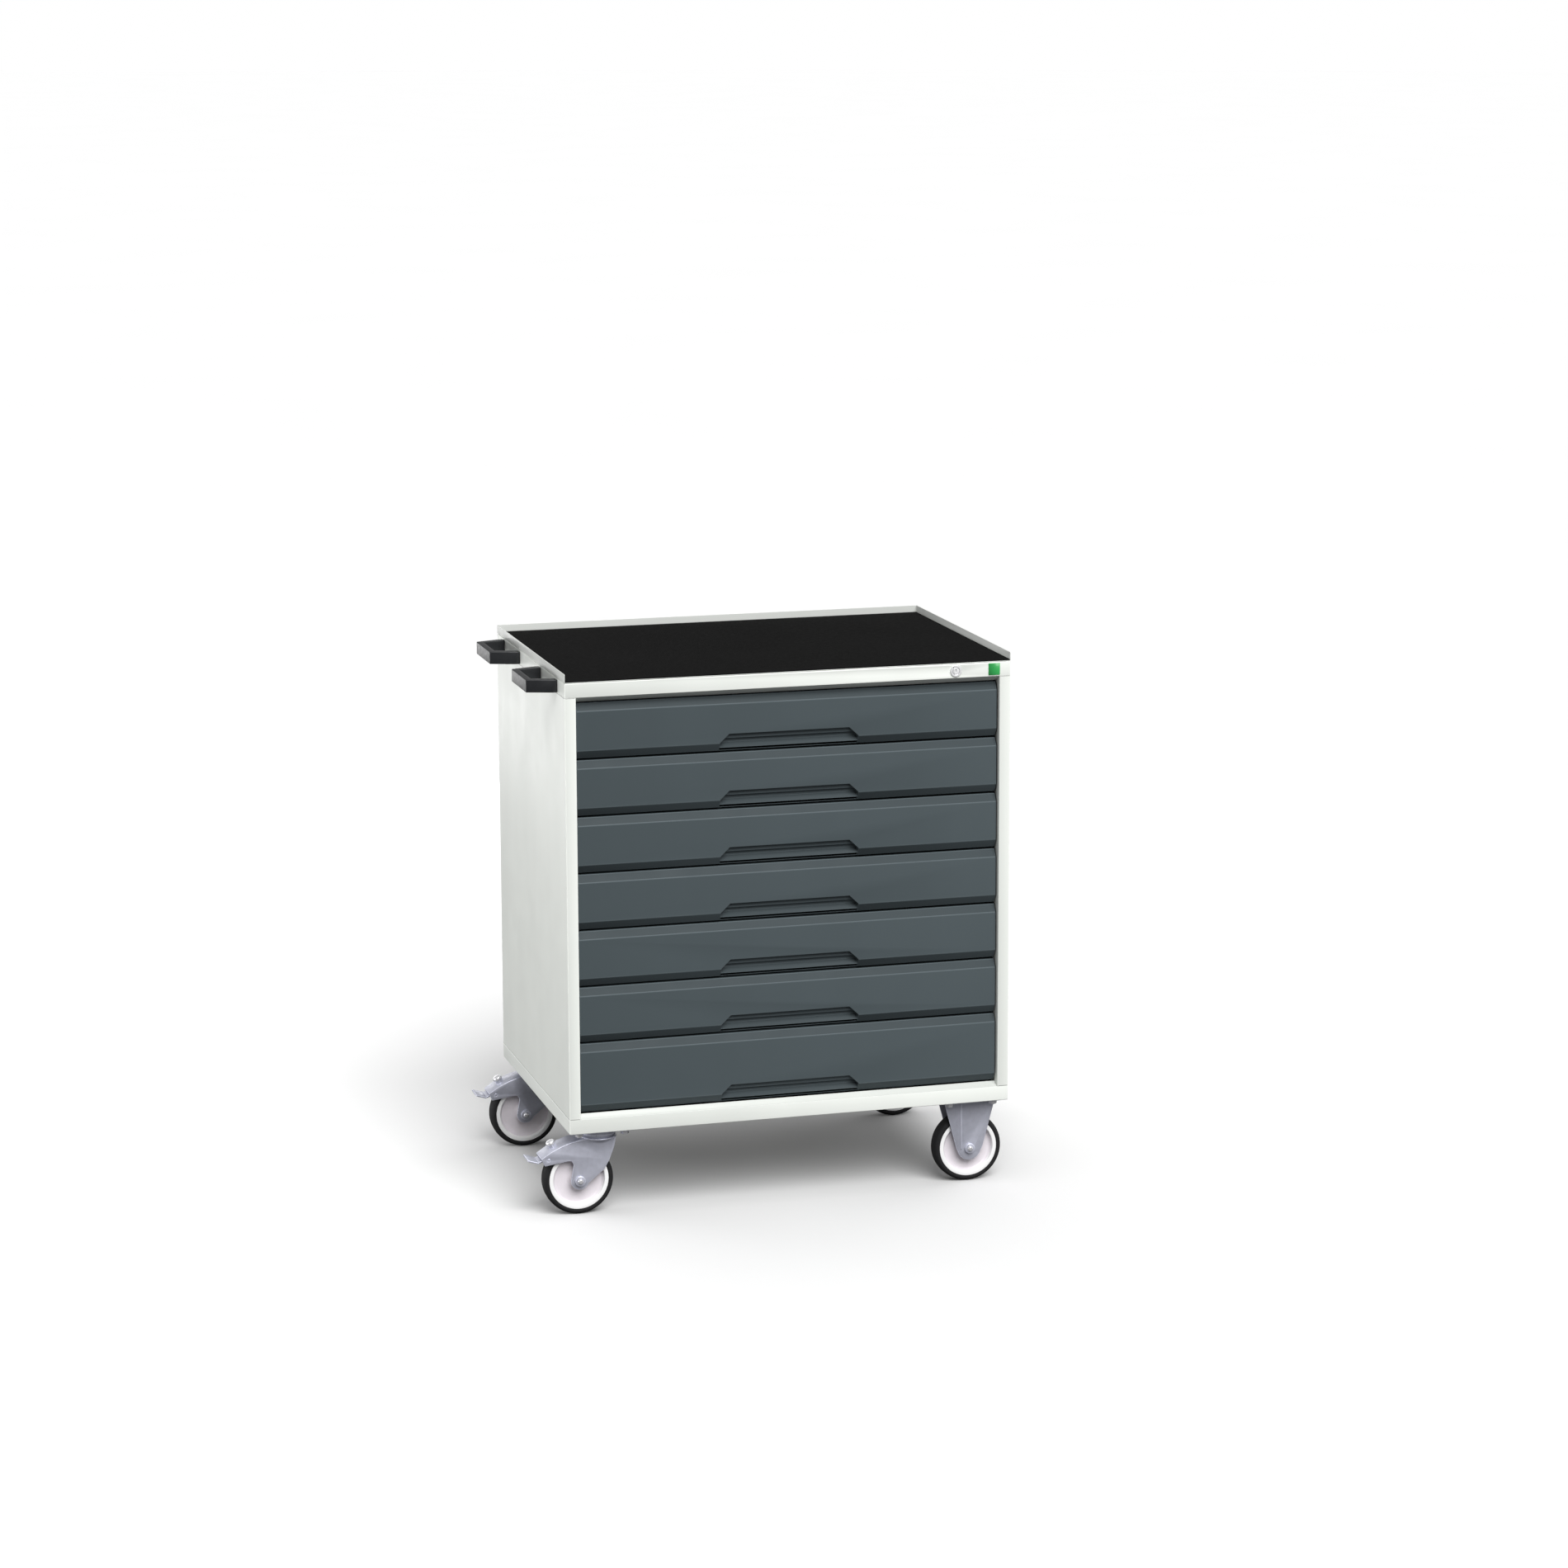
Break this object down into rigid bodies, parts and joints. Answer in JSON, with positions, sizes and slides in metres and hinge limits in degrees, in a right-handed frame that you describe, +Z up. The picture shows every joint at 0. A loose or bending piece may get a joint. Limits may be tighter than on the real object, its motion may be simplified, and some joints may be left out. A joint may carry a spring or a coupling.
{
  "type": "mobile drawer cabinet",
  "caption": "Steel tool cabinet on castors with full-extension drawers, a lipped top tray with a ribbed mat, a cam lock, push handles and foot brakes.",
  "frame": {"origin": "on the floor, under the middle of the whole outline: cabinet, push handles and brake pedals", "axes": "+X to the right as seen from the front, +Y from the front to the back, +Z up"},
  "size_m": [0.8684, 0.552, 0.965],
  "materials": {
    "housing_paint": "light grey powder coat, satin",
    "drawer_paint": "anthracite powder coat, fine texture",
    "mat_rubber": "fine ribs, matt",
    "handle_plastic": "moulded, fine grain",
    "zinc_steel": "bright zinc plate",
    "slide_steel": "rolled, zinc plated",
    "lock_chrome": "polished",
    "badge_green": "plain green, satin",
    "wheel_plastic": "moulded white polyamide",
    "tyre_rubber": "smooth black rubber"
  },
  "bodies": {
    "cabinet": {"left_side_panel": "housing_paint", "right_side_panel": "housing_paint", "rear_panel": "housing_paint", "top_cover": "housing_paint", "top_tray": "housing_paint", "top_mat": "mat_rubber", "base_pan": "housing_paint", "left_runner_frame": "slide_steel", "right_runner_frame": "slide_steel", "lock_barrel": "lock_chrome", "badge_plate": "badge_green", "front_push_handle": "handle_plastic", "rear_push_handle": "handle_plastic", "swivel_plate_front_left": "zinc_steel", "swivel_plate_rear_left": "zinc_steel", "bracket_front_right": "zinc_steel", "bracket_rear_right": "zinc_steel"},
    "drawer_1": {"drawer_front_1": "drawer_paint", "drawer_tray_1": "drawer_paint"},
    "carriage_1": {"slide_middle_1_left": "slide_steel", "slide_middle_1_right": "slide_steel"},
    "drawer_2": {"drawer_front_2": "drawer_paint", "drawer_tray_2": "drawer_paint"},
    "carriage_2": {"slide_middle_2_left": "slide_steel", "slide_middle_2_right": "slide_steel"},
    "drawer_3": {"drawer_front_3": "drawer_paint", "drawer_tray_3": "drawer_paint"},
    "carriage_3": {"slide_middle_3_left": "slide_steel", "slide_middle_3_right": "slide_steel"},
    "drawer_4": {"drawer_front_4": "drawer_paint", "drawer_tray_4": "drawer_paint"},
    "carriage_4": {"slide_middle_4_left": "slide_steel", "slide_middle_4_right": "slide_steel"},
    "drawer_5": {"drawer_front_5": "drawer_paint", "drawer_tray_5": "drawer_paint"},
    "carriage_5": {"slide_middle_5_left": "slide_steel", "slide_middle_5_right": "slide_steel"},
    "drawer_6": {"drawer_front_6": "drawer_paint", "drawer_tray_6": "drawer_paint"},
    "carriage_6": {"slide_middle_6_left": "slide_steel", "slide_middle_6_right": "slide_steel"},
    "drawer_7": {"drawer_front_7": "drawer_paint", "drawer_tray_7": "drawer_paint"},
    "carriage_7": {"slide_middle_7_left": "slide_steel", "slide_middle_7_right": "slide_steel"},
    "lock_plug": {"lock_plug": "lock_chrome"},
    "lock_bar": {"lock_bar": "zinc_steel"},
    "fork_front_left": {"fork_front_left": "zinc_steel"},
    "wheel_front_left": {"wheel_front_left": "wheel_plastic", "tyre_front_left": "tyre_rubber"},
    "brake_pedal_front_left": {"brake_pedal_front_left": "zinc_steel"},
    "fork_rear_left": {"fork_rear_left": "zinc_steel"},
    "wheel_rear_left": {"wheel_rear_left": "wheel_plastic", "tyre_rear_left": "tyre_rubber"},
    "brake_pedal_rear_left": {"brake_pedal_rear_left": "zinc_steel"},
    "wheel_front_right": {"wheel_front_right": "wheel_plastic", "tyre_front_right": "tyre_rubber"},
    "wheel_rear_right": {"wheel_rear_right": "wheel_plastic", "tyre_rear_right": "tyre_rubber"}
  },
  "joints": [
    {"name": "drawer_1_slide", "type": "slide", "parent": "cabinet", "child": "drawer_1", "axis": [0, -1, 0], "range_m": [0, 0.44]},
    {"name": "drawer_1_carriage", "type": "slide", "parent": "cabinet", "child": "carriage_1", "axis": [0, -1, 0], "range_m": [0, 0.22]},
    {"name": "drawer_2_slide", "type": "slide", "parent": "cabinet", "child": "drawer_2", "axis": [0, -1, 0], "range_m": [0, 0.44]},
    {"name": "drawer_2_carriage", "type": "slide", "parent": "cabinet", "child": "carriage_2", "axis": [0, -1, 0], "range_m": [0, 0.22]},
    {"name": "drawer_3_slide", "type": "slide", "parent": "cabinet", "child": "drawer_3", "axis": [0, -1, 0], "range_m": [0, 0.44]},
    {"name": "drawer_3_carriage", "type": "slide", "parent": "cabinet", "child": "carriage_3", "axis": [0, -1, 0], "range_m": [0, 0.22]},
    {"name": "drawer_4_slide", "type": "slide", "parent": "cabinet", "child": "drawer_4", "axis": [0, -1, 0], "range_m": [0, 0.44]},
    {"name": "drawer_4_carriage", "type": "slide", "parent": "cabinet", "child": "carriage_4", "axis": [0, -1, 0], "range_m": [0, 0.22]},
    {"name": "drawer_5_slide", "type": "slide", "parent": "cabinet", "child": "drawer_5", "axis": [0, -1, 0], "range_m": [0, 0.44]},
    {"name": "drawer_5_carriage", "type": "slide", "parent": "cabinet", "child": "carriage_5", "axis": [0, -1, 0], "range_m": [0, 0.22]},
    {"name": "drawer_6_slide", "type": "slide", "parent": "cabinet", "child": "drawer_6", "axis": [0, -1, 0], "range_m": [0, 0.44]},
    {"name": "drawer_6_carriage", "type": "slide", "parent": "cabinet", "child": "carriage_6", "axis": [0, -1, 0], "range_m": [0, 0.22]},
    {"name": "drawer_7_slide", "type": "slide", "parent": "cabinet", "child": "drawer_7", "axis": [0, -1, 0], "range_m": [0, 0.44]},
    {"name": "drawer_7_carriage", "type": "slide", "parent": "cabinet", "child": "carriage_7", "axis": [0, -1, 0], "range_m": [0, 0.22]},
    {"name": "lock_turn", "type": "hinge", "parent": "cabinet", "child": "lock_plug", "pos_m": [0.3325, -0.275, 0.9365], "axis": [0, 1, 0], "range_deg": [0, 90]},
    {"name": "lock_bar_drop", "type": "slide", "parent": "cabinet", "child": "lock_bar", "axis": [0, 0, -1], "range_m": [0, 0.012]},
    {"name": "swivel_front_left", "type": "hinge", "parent": "cabinet", "child": "fork_front_left", "pos_m": [-0.3045, -0.222, 0.1375], "axis": [0, 0, 1], "continuous": true},
    {"name": "roll_front_left", "type": "hinge", "parent": "fork_front_left", "child": "wheel_front_left", "pos_m": [-0.3425, -0.222, 0.0625], "axis": [0, 1, 0], "continuous": true},
    {"name": "brake_front_left", "type": "hinge", "parent": "fork_front_left", "child": "brake_pedal_front_left", "pos_m": [-0.3975, -0.222, 0.1045], "axis": [0, -1, 0], "range_deg": [0, 12]},
    {"name": "swivel_rear_left", "type": "hinge", "parent": "cabinet", "child": "fork_rear_left", "pos_m": [-0.3045, 0.222, 0.1375], "axis": [0, 0, 1], "continuous": true},
    {"name": "roll_rear_left", "type": "hinge", "parent": "fork_rear_left", "child": "wheel_rear_left", "pos_m": [-0.3425, 0.222, 0.0625], "axis": [0, 1, 0], "continuous": true},
    {"name": "brake_rear_left", "type": "hinge", "parent": "fork_rear_left", "child": "brake_pedal_rear_left", "pos_m": [-0.3975, 0.222, 0.1045], "axis": [0, -1, 0], "range_deg": [0, 12]},
    {"name": "roll_front_right", "type": "hinge", "parent": "cabinet", "child": "wheel_front_right", "pos_m": [0.3715, -0.222, 0.0625], "axis": [0, 1, 0], "continuous": true},
    {"name": "roll_rear_right", "type": "hinge", "parent": "cabinet", "child": "wheel_rear_right", "pos_m": [0.3715, 0.222, 0.0625], "axis": [0, 1, 0], "continuous": true}
  ],
  "couplings": [
    {"joint": "drawer_1_carriage", "follows": "drawer_1_slide", "ratio": 0.5},
    {"joint": "drawer_2_carriage", "follows": "drawer_2_slide", "ratio": 0.5},
    {"joint": "drawer_3_carriage", "follows": "drawer_3_slide", "ratio": 0.5},
    {"joint": "drawer_4_carriage", "follows": "drawer_4_slide", "ratio": 0.5},
    {"joint": "drawer_5_carriage", "follows": "drawer_5_slide", "ratio": 0.5},
    {"joint": "drawer_6_carriage", "follows": "drawer_6_slide", "ratio": 0.5},
    {"joint": "drawer_7_carriage", "follows": "drawer_7_slide", "ratio": 0.5},
    {"joint": "lock_turn", "follows": "lock_bar_drop", "rad_per_m": 130.89}
  ]
}
